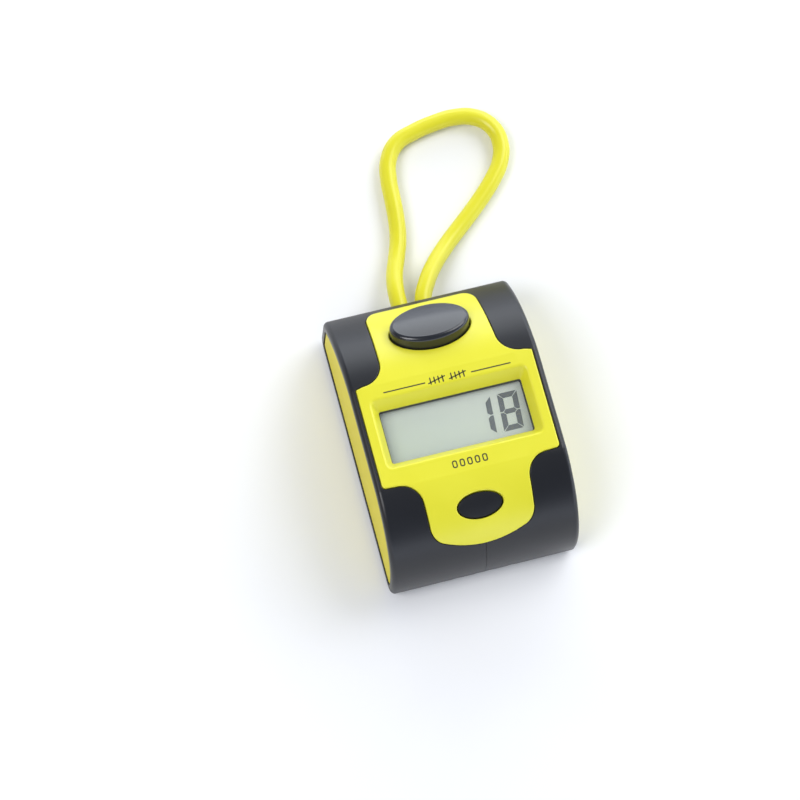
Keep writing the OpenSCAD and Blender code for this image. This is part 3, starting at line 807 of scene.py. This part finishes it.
# ---- case halves
def cad_inside(node, boxes):
    """Polygons of the part of a CAD node that lies in each of the given convex prisms, in mm."""
    found = []
    for points, faces in boxes:
        tool = bpy.data.meshes.new("tool")
        tool.from_pydata([Vector(p) * MM for p in points], [], faces)
        work = new_object("work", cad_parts[node].data.copy())
        knife = new_object("knife", tool)
        for o in (work, knife):
            o.data.transform(Matrix.Scale(1 / MM, 4))
            b = bmesh.new()
            b.from_mesh(o.data)
            bmesh.ops.remove_doubles(b, verts=b.verts, dist=0.0005)
            bmesh.ops.recalc_face_normals(b, faces=b.faces)
            b.to_mesh(o.data)
            b.free()
        cut = work.modifiers.new("cut", "BOOLEAN")
        cut.operation = "INTERSECT"
        cut.solver = "EXACT"
        cut.object = knife
        bpy.context.view_layer.update()
        result = work.evaluated_get(bpy.context.evaluated_depsgraph_get()).to_mesh()
        found += [[result.vertices[i].co.copy() for i in polygon.vertices] for polygon in result.polygons]
        for o in (work, knife):
            mesh = o.data
            bpy.data.objects.remove(o)
            bpy.data.meshes.remove(mesh)
    return found


def prism(section, x0, x1):
    """Points and faces of a prism across the case from a (y, z) section."""
    n = len(section)
    points = [(x0, y, z) for y, z in section] + [(x1, y, z) for y, z in section]
    faces = [list(range(n)), list(range(2 * n - 1, n - 1, -1))]
    faces += [[i, i + n, (i + 1) % n + n, (i + 1) % n] for i in range(n)]
    return points, faces


def lower_s(z):
    """Where along the profile the rounding of the lower back edge has this height."""
    run = RUNS[1]
    return run["s"] + run["r"] * (run["a0"] - rad(180) - asin((BACK_R - z) / BACK_R))


def back_s(y):
    """Where along the profile the back has this y, towards the lower end."""
    return S_MIN + SEAM_Y - y


def shell_outline():
    """The outline of a case half in (x, s), with the radius of each point's edge and which edges are free."""
    gap_x = 0.012
    pocket = [(x + PLATE_GAP * nx, s + PLATE_GAP * ns) for x, s, nx, ns in with_normals(PLATE)[:len(HALF)]]
    pocket[0] = (gap_x, pocket[0][1])
    pocket[-1] = (gap_x, pocket[-1][1])
    door_top, door_in = lower_s(DOOR_T + DOOR_GAP), back_s(DOOR_IN + DOOR_GAP)
    door_x = DOOR_HALF + DOOR_GAP
    steps = [gap_x + (LONG_X - gap_x) * k / 8 for k in range(9)]
    parts = [
        ("cut", [(x, S_MIN) for x in steps[:-1]]),
        ("long", [(LONG_X, s) for s in rows(S_MIN, S_MAX)[:-1]]),
        ("cut", [(x, S_MAX) for x in steps[:0:-1]]),
        ("seam", [(gap_x, s) for s in rows(pocket[-1][1], S_MAX)[:0:-1]]),
        ("pocket", pocket[:0:-1]),
        ("seam", [(gap_x, s) for s in rows(door_top, pocket[0][1])[:0:-1]]),
        ("door", divided([(gap_x, door_top), (door_x, door_top)], 1.5, False)[:-1]
         + [(door_x, s) for s in rows(door_in, door_top)[:0:-1]]
         + divided([(door_x, door_in), (gap_x, door_in)], 1.5, False)[:-1]),
        ("seam", [(gap_x, s) for s in rows(S_MIN, door_in)[:0:-1]])]
    sizes = {"cut": 0, "long": 0, "seam": 0.07, "pocket": 0.16, "door": 0.14}
    kinds = [kind for kind, run in parts for _ in run]
    free = [sizes[kind] == 0 for kind in kinds]
    radii = [max(sizes[kinds[i]], sizes[kinds[i - 1]]) for i in range(len(kinds))]
    return with_normals([p for _, run in parts for p in run], free), radii, free


def make_shell(side, name, node):
    shape = Shape(side)
    loop, radii, free = shell_outline()
    rings = rim(loop, quarter(1, 0, 3), radii)
    inner = []
    inner_x = INNER_X - 0.02
    for (x, s, nx, ns), edge in zip(loop, rings[-1]):
        if nx == 0 and ns == 0:
            x *= inner_x / LONG_X
            inner.append((point(x, s, -SKIN), -normal(s), (x, s)))
        else:
            inner.append((point(x, s, -SKIN), edge[1], (x, s)))
    shape.rings(rings + [inner], [not f for f in free])
    # Cord hole, with a rounded mouth.
    hole_s = RUNS[7]["s"] + (END_Z - CORD_Z)
    hole_r = CORD_D / 2 + 0.15
    hole = with_normals([(CORD_X + hole_r * c, hole_s + hole_r * d) for c, d in circle(32, -1)])
    hole_rings = rim(hole, quarter(0.4, 0) + [(0, -SKIN, 0)])
    shape.rings(hole_rings)
    shape.fill([rings[0], hole_rings[0]], 0, 1)
    shape.fill([inner, hole_rings[-1]], -SKIN, -1, 3.5)
    # Rounded long edge, rim and pocket wall of the side cover.
    lip = 0.15
    path = [(HALF_W + out, h, tilt) for out, h, tilt in quarter(EDGE_R, 0, 9)]
    path += [(HALF_W + out, -RIM - h, -tilt) for out, h, tilt in quarter(lip, 0, 2)[::-1]]
    path += [(COVER_FLOOR, -RIM, rad(-90))]
    along = rows(S_MIN, S_MAX)[:-1]
    side_rings = [[(point(x, s, h), normal(s) * sin(tilt) + OUT * cos(tilt)) for s in along]
                  for x, h, tilt in path]
    shape.rings(side_rings)
    shape.cap(side_rings[-1], OUT)
    shape.cap([(point(inner_x, s, -SKIN),) for s in along], -OUT)
    # What stands inside: bosses, battery bay, rails and slots, cut from the CAD node.
    room = [tuple(point(0, s, 0.01 - SKIN))[1:] for s in along]
    web = [(-26.2, 1.69), (-8.8, 1.69), (-8.8, 2.1), (-26.2, 2.1)]
    boxes = [prism(section, *sorted((0, side * x))) for section, x in ((room, INNER_X - 0.01), (web, 8.95))]
    shape.side = 1
    shape.flat_faces(cad_inside(node, boxes))
    shape.make(name, BLACK, "black_case", node)


make_shell(-1, "case_half_left", "left_shell")
make_shell(1, "case_half_right", "right_shell")


# ---- side covers
def make_cover(side, name, node):
    shape = Shape(side)
    along = rows(S_MIN, S_MAX)[:-1]
    deep = -RIM - COVER_GAP
    path = [(COVER_FACE + out, deep + h, rad(90) - tilt) for out, h, tilt in quarter(0.35, 0)[::-1]]
    path += [(COVER_FLOOR + 0.02, deep, 0)]
    rings = []
    for x, h, tilt in path:
        rings.append([(point(x, s, h), OUT * sin(tilt) + normal(s) * cos(tilt)) for s in along])
    shape.rings(rings)
    shape.cap(rings[0], OUT)
    shape.cap(rings[-1], -OUT)
    # Pegs that go into the case.
    for y, z in ((-12, 13), (11, 14.5)):
        place = Matrix.Translation((COVER_FLOOR + 0.1, y, z)) @ Matrix.Rotation(rad(-90), 4, "Y")
        shape.turned([(0, 0), (1.0, 0), (1.0, 1.5), (0.8, 1.7), (0, 1.7)], place, 20)
    # The covers take the yellow with painted shade.
    shape.make(name, SIDE_YELLOW_PAINTED_SHADE, "yellow_plastic", node)


make_cover(-1, "side_cover_left", "left_side_cover")
make_cover(1, "side_cover_right", "right_side_cover")


# ---- buttons
def make_count_button():
    shape = Shape()
    edge_r, crown = 0.85, 0.32
    edge_z = COUNT_H - crown * 0.5  # where the crowned face meets the rounded edge
    angles = circle(96)

    def ring(inset, z, lean):
        a, b = COUNT_A - inset, COUNT_B - inset
        return [(COUNT_FRAME @ Vector((a * c, b * s, z)),
                 COUNT_TURN @ (across(a, b, c, s) * cos(lean) + UP * sin(lean))) for c, s in angles]

    face_rings = []
    for k in range(7):
        share = k / 6
        a, b = (COUNT_A - edge_r) * share, (COUNT_B - edge_r) * share
        lean = 2 * crown * share
        face_rings.append([(COUNT_FRAME @ Vector((a * c, b * s, edge_z + crown * (1 - share ** 2))),
                            COUNT_TURN @ Vector((c * lean / COUNT_A, s * lean / COUNT_B, 1)).normalized())
                           for c, s in angles])
    wall = [ring(-out, edge_z + h, tilt) for out, h, tilt in quarter(edge_r, 0, 5)] + [ring(0, -2, 0)]
    shape.rings(face_rings + wall[:1])
    shape.rings(wall)
    # Flange under the faceplate, and the stem down to the dome.
    flange = -0.8
    shape.strip(ring(0, -2, rad(90)), ring(flange, -2, rad(90)))
    shape.strip(ring(flange, -2, 0), ring(flange, -3, 0))
    shape.cap(ring(flange, -3, 0), COUNT_TURN @ DOWN)
    end = COUNT_BOARD_Z + 2.4
    shape.turned([(0, -2.5), (2.4, -2.5), (2.4, end + 0.2), (2.2, end), (0, end)], COUNT_FRAME, 32)
    shape.make("count_key", KEY, "count_key", "count_button", body="count_key")


def make_reset_button():
    shape = Shape()
    count = 64
    crown = 0.22
    stem_z = BOARD_TOP + 1.8
    flange_z = stem_z + 0.8

    def ring(share, drop, lean):
        found = []
        for c, d in circle(count):
            x, y = RESET_A * share * c, RESET_Y + RESET_B * share * d
            s = front_s(y, -0.05)
            p = point(x, s, -0.05) + UP * (crown * (1 - share ** 2) - drop)
            found.append((p, normal(s) * cos(lean) + across(RESET_A, RESET_B, c, d) * sin(lean)))
        return found

    def lowered(corners):
        """A wall's corners and the ones under them, at the foot of the flange."""
        upper = [(p, Vector((p.x, p.y - RESET_Y, 0))) for p, _ in corners]
        return upper, [(Vector((p.x, p.y, flange_z)), n) for p, n in upper]

    rings = [ring(k / 6 * 0.94, 0, rad(k)) for k in range(7)]
    rings += [ring(0.965, 0.03, rad(30)), ring(0.99, 0.11, rad(62)), ring(1.0, 0.25, rad(90))]
    low = lowered(rings[-1])[1]
    shape.rings(rings + [low])
    shape.cap(low, DOWN)
    stem = [(0, flange_z + 0.6), (1.8, flange_z + 0.6), (1.8, stem_z + 0.15), (1.65, stem_z), (0, stem_z)]
    shape.turned(stem, Matrix.Translation((0, RESET_Y, 0)), 32)
    # Flange under the faceplate, which follows its slope.
    wide, top_h = 0.85, PLATE_LOW - 0.3
    upper = []
    for c, d in circle(count, -1):
        s = front_s(RESET_Y + (RESET_B + wide) * d, top_h)
        upper.append((point((RESET_A + wide) * c, s, top_h), normal(s)))
    wall, foot = lowered(upper)
    shape.strip(wall, foot)
    shape.cap(foot, DOWN)
    rings = [upper]
    for share in (0.5, 0):
        rings.append([(point(p.x * share, front_s(RESET_Y + (p.y - RESET_Y) * share, top_h), top_h), n)
                      for p, n in upper])
    shape.rings(rings)
    shape.make("reset_key", NUB, "reset_rubber", "reset_button", body="reset_key")


def make_dome(name, base_r, height, place, node):
    shape = Shape()
    pad, wall = 2.4, 1.2
    outline = [(0, height), (pad - 0.15, height), (pad, height - 0.12), (base_r - 0.1, 0.62), (base_r, 0.5),
               (base_r, 0.02), (base_r - wall, 0.02), (base_r - wall, 0.3), (pad - 0.6, height - 0.9),
               (0, height - 0.9)]
    shape.turned(outline, place, 40)
    piece = shape.make(name, DOME, "dome_rubber", node)
    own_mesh(piece)


make_count_button()
make_reset_button()
make_dome("count_spring_dome", 4.4, 2.4, COUNT_FRAME @ Matrix.Translation((0, 0, COUNT_BOARD_Z)),
          "count_dome")
make_dome("reset_spring_dome", 3.3, 1.8, Matrix.Translation((0, RESET_Y, BOARD_TOP)),
          "reset_dome")


# ---- display
def plate_piece(name, outline, z0, z1, r, material, slot, *replaced):
    """A flat plate from an outline, with a small chamfer."""
    shape = Shape()
    loop = with_normals(outline)
    upper, lower = z1 - r, z0 + r
    shape.rings([ringed(loop, z, out, n_out, n_up) for z, out, n_out, n_up in (
        (z1, -r, 0, 1), (z1, -r, 1, 1), (upper, 0, 1, 1), (upper, 0, 1, 0),
        (lower, 0, 1, 0), (lower, 0, 1, -1), (z0, -r, 1, -1), (z0, -r, 0, -1))])
    shape.cap(ringed(loop, z1, -r), UP)
    shape.cap(ringed(loop, z0, -r), DOWN)
    shape.make(name, material, slot, *replaced)


def band(shape, outer, inner, z0, z1):
    """A flat ring between two outlines with as many points."""
    outer, inner = with_normals(outer), with_normals(inner)
    for z, up in ((z1, 1), (z0, -1)):
        shape.strip(ringed(outer, z, 0, 0, up), ringed(inner, z, 0, 0, up))
    for loop, facing in ((outer, 1), (inner, -1)):
        shape.strip(ringed(loop, z0, 0, facing), ringed(loop, z1, 0, facing))


def slab(shape, outline, z0, z1):
    """A thin flat piece with straight sides."""
    low, high = (ringed(with_normals(outline), z) for z in (z0, z1))
    shape.strip(low, high)
    shape.cap(high, UP)
    shape.cap(low, DOWN)


def window_outline(grow, r):
    """The window's outline, grown all round, with corners of radius r."""
    half_h = WINDOW_HALF_H + grow
    return rounded(WINDOW_HALF_W + grow, WINDOW_Y - half_h, WINDOW_Y + half_h, r)


plate_piece("window_lens", window_outline(0.9, 0.6), 19.72, WINDOW_Z - 0.02, 0.06, LENS,
            "clear_window", "display_window")


def make_border():
    """The dark border printed under the window, just inside its opening."""
    shape = Shape()
    band(shape, window_outline(0.85, 0.6), window_outline(-0.24, 0.35), 19.68, 19.71)
    shape.make("window_border", BORDER, "clear_window")


make_border()


def digit(name, x, y):
    """Outlines of a seven-segment figure's lit segments. x, y is its lower left corner."""
    wide, high, t, gap, lean = 3.9, 7.5, 1.05, 0.13, tan(rad(4.0))
    mid = high / 2
    top = [(gap, high), (wide - gap, high), (wide - t - gap * 0.4, high - t), (t + gap * 0.4, high - t)]
    side = [(wide, high - gap), (wide, mid + gap * 0.9), (wide - t * 0.5, mid + gap * 0.7),
            (wide - t, mid + t * 0.5), (wide - t, high - t - gap * 0.6)]
    half_bar = [(t * 0.5 + gap, mid), (t + gap * 0.5, mid + t * 0.45), (wide - t - gap * 0.5, mid + t * 0.45)]

    def left(outline):
        return [(wide - px, py) for px, py in outline]

    def lower(outline):
        return [(px, high - py) for px, py in outline]

    shapes = {"a": top, "b": side, "c": lower(side), "d": lower(top), "e": left(lower(side)), "f": left(side),
              "g": half_bar + lower(left(half_bar))}
    lit = {"1": "bc", "8": "abcdefg"}[name]
    return [[(x + px + py * lean, y + py) for px, py in shapes[k]] for k in lit]


def make_digits():
    shape = Shape()
    pitch, z, half_t = 5.3, 18.93, 0.012
    left = WINDOW_HALF_W - 5.55
    low = WINDOW_Y - 3.8
    for outline in digit("8", left, low) + digit("1", left - pitch, low):
        around = facing_of([Vector((x, y, 0)) for x, y in outline])
        slab(shape, outline if around.z > 0 else outline[::-1], z - half_t, z + half_t)
    shape.make("display_figures", SEGMENT, "lcd_glass")


make_digits()
SHEET_HALF_W, SHEET_TOP = 15.45, WINDOW_Y + 6.6
FRONT_LOW, REAR_LOW = WINDOW_Y - 7.4, WINDOW_Y - 5.6
for sheet, low, z0, z1, r, material, slot, node in (
        ("front_glass", FRONT_LOW, 18.96, 19.6, 0.04, GLASS, "lcd_glass", "lcd_front_glass"),
        ("rear_glass", REAR_LOW, 18.24, 18.9, 0.04, REAR_GLASS, "lcd_glass", "lcd_rear_glass"),
        ("reflector_foil", REAR_LOW, 18.02, 18.2, 0.03, FOIL, "foil", "lcd_reflector")):
    plate_piece(sheet, rounded(SHEET_HALF_W, low, SHEET_TOP, 0.15), z0, z1, r, material, slot, node)


# ---- printing on the faceplate
PRINT_LOW, PRINT_HIGH = FACE_Z - 0.02, FACE_Z + 0.012


def stroke(shape, x0, y0, x1, y1, width):
    """A straight printed stroke with rounded ends."""
    way = degrees(atan2(y1 - y0, x1 - x0))
    outline = arc(x1, y1, width / 2, way - 90, way + 90, 6) + arc(x0, y0, width / 2, way + 90, way + 270, 6)
    slab(shape, outline, PRINT_LOW, PRINT_HIGH)


def make_print():
    shape = Shape()
    line_y, mark_y, pen = 7.0, 7.1, 0.24
    for side in (-1, 1):
        stroke(shape, side * 4.6 + 0.3, line_y, side * 12.4 + 0.1, line_y, pen)
    # Two tally gates, four uprights and a bar across each.
    for left in (-3.15, 0.95):
        for k in range(4):
            x = left + 0.8 * k
            stroke(shape, x, mark_y - 0.6, x, mark_y + 0.6, pen)
        stroke(shape, left - 0.45, mark_y - 0.4, left + 2.85, mark_y + 0.4, pen)
    # Five noughts.
    nought_y, pitch, half_w, half_h, line = -9.7, 1.47, 0.5, 0.75, 0.25
    for k in range(5):
        loops = []
        for inset, r in ((0, 0.42), (line, 0.2)):
            loop = rounded(half_w - inset, inset - half_h, half_h - inset, r)
            loops.append([((k - 2) * pitch + x, nought_y + y) for x, y in loop])
        band(shape, *loops, PRINT_LOW, PRINT_HIGH)
    shape.make("faceplate_print", INK, "yellow_plastic")


make_print()


# ---- battery door and cell
def make_door():
    shape = Shape()
    s0, s1 = back_s(DOOR_IN), lower_s(DOOR_T - 0.12)
    along = rows(s0, s1)
    loop = with_normals(divided([(-DOOR_HALF, s0), (DOOR_HALF, s0)], 1.6, False)[:-1]
                        + [(DOOR_HALF, s) for s in along[:-1]]
                        + divided([(DOOR_HALF, s1), (-DOOR_HALF, s1)], 1.6, False)[:-1]
                        + [(-DOOR_HALF, s) for s in along[:0:-1]])
    rings = rim(loop, quarter(0.12, 0, 3))
    inside = [(Vector((x, point(x, s).y, DOOR_T)), corner[1], (x, s))
              for (x, s, _, _), corner in zip(loop, rings[-1])]
    shape.rings(rings + [inside])
    shape.cap(inside, UP)
    # Finger grooves, each a stadium that narrows to the line between its two centres.
    r, reach = 0.55, 3.95
    grooves = []
    for k in range(4):
        at = back_s(-12 - 1.6 * k)
        stadium = with_normals(divided(arc(reach, at, r, 90, -90, 8) + arc(-reach, at, r, 270, 90, 8), 1.5))
        groove = rim(stadium, [(0.12, 0, rad(90)), (0.03, -0.04, rad(60)), (0, -0.09, rad(45))])
        for depth, share in ((0.2, 0.3), (0.27, 0.6), (0.3, 1.0)):
            ring = []
            for x, s, nx, ns in stadium:
                px, ps = x + (max(-reach, min(reach, x)) - x) * share, s + (at - s) * share
                flat = Vector((nx, ns * tangent(s).y, 0)) * (1 - share)
                ring.append((point(px, ps, -depth), normal(s) + flat * 0.8, (px, ps)))
            groove.append(ring)
        shape.rings(groove)
        grooves.append(groove)
    shape.fill([rings[0]] + [groove[0] for groove in grooves], 0, 1)
    # Rails along both sides.
    for side in (-1, 1):
        x0, x1 = sorted((side * (DOOR_HALF - 0.3), side * (DOOR_HALF + 0.8)))
        shape.box(Vector((x0, -26.3, 0.92)), Vector((x1, DOOR_IN, 1.58)), 0.08)
    shape.make("battery_cover", BLACK, "black_case", "battery_door", body="door")


make_door()


def make_cell():
    shape = Shape()
    h, r = CELL_H, CELL_R
    outline = [(0, h), (4.3, h), (4.5, h - 0.15), (4.6, h - 0.5), (4.75, h - 0.55), (5.55, h - 0.55),
               (5.75, h - 0.7), (r, h - 0.95), (r, 0.35), (5.7, 0.12), (5.4, 0), (4.6, 0), (4.45, 0.08),
               (0, 0.08)]
    shape.turned(outline, Matrix.Translation((0, CELL_Y, CELL_Z)), 64)
    shape.make("button_cell", STEEL, "steel", "battery_cell")


make_cell()


# ---- CAD nodes that stay, with their materials
KEPT = {
    "lcd_frame": WHITE, "zebra_connector": ZEBRA, "main_board": BOARD, "counter_chip": EPOXY,
    "board_components": CERAMIC, "board_screws": STEEL, "count_board": BOARD, "count_wires": COPPER,
    "negative_contact": SPRING, "positive_contact": SPRING, "case_screws": STEEL, "lanyard_anchor": ANCHOR}
for node, material in KEPT.items():
    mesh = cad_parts[node].data
    mesh.materials.clear()
    mesh.materials.append(material)


# ---- floor, light and colour
floor_mesh = bpy.data.meshes.new("floor")
reach = 6.0
corners = [(-reach, -reach, 0), (reach, -reach, 0), (reach, reach, 0), (-reach, reach, 0)]
floor_mesh.from_pydata(corners, [], [(0, 1, 2, 3)])
floor_material, floor_tree, floor_shader = new_material("floor_white", Roughness=0.9, Specular_IOR_Level=0.1)
tint(floor_tree, floor_shader, noise(floor_tree, 30, 2), (0.93, 0.93, 0.93), (0.95, 0.95, 0.95))
floor_mesh.materials.append(floor_material)
floor = new_object("floor", floor_mesh)
floor.location.z = -0.0001

world = bpy.data.worlds.new("studio")
bpy.context.scene.world = world
world.use_nodes = True
sky = world.node_tree
split = sky.nodes.new("ShaderNodeSeparateXYZ")
sky.links.new(output(sky, "TexCoord", {}, "Generated"), split.inputs[0])
# By height: bright walls under a dark ceiling. By side: dimmer and warmer from the left.
by_height = ramp(sky, split.outputs["Z"], [(0.0, (1.85, 1.98, 2.25)), (0.14, (1.70, 1.82, 2.07)),
                                           (0.40, (0.31, 0.34, 0.40)), (1.0, (0.22, 0.24, 0.28))])
sideways = output(sky, "MapRange", {"Value": split.outputs["X"]}, "Result", From_Min=-1.0)
by_side = ramp(sky, sideways, [(0.0, (0.30, 0.22, 0.15)), (0.08, (0.40, 0.32, 0.25)), (0.18, (1, 1, 1)),
                               (0.7, (1, 1, 1)), (1.0, (1.5, 1.52, 1.56))])
both = output(sky, "VectorMath", {0: by_height, 1: by_side}, "Vector", "MULTIPLY")
sky.links.new(both, sky.nodes["Background"].inputs["Color"])


def softbox(name, place, size, power, color=(1, 1, 1)):
    data = bpy.data.lights.new(name, "AREA")
    data.shape = "RECTANGLE"
    data.size, data.size_y = size
    data.energy = power
    data.color = color
    lamp = new_object(name, data)
    lamp.location = place
    lamp.rotation_euler = (Vector(place) - UP * 0.01).to_track_quat("Z", "Y").to_euler()


softbox("key_light", (0.35, 0.95, 0.42), (0.9, 0.5), 3.8, (0.93, 0.97, 1.0))
softbox("right_fill", (0.62, 0.35, 0.75), (0.6, 0.6), 4.6)
softbox("left_fill", (-0.55, -0.1, 0.8), (0.5, 0.5), 4.6)
bpy.context.scene.cycles.transparent_max_bounces = 32
bpy.context.scene.view_settings.view_transform = "Standard"
bpy.context.scene.view_settings.look = "None"
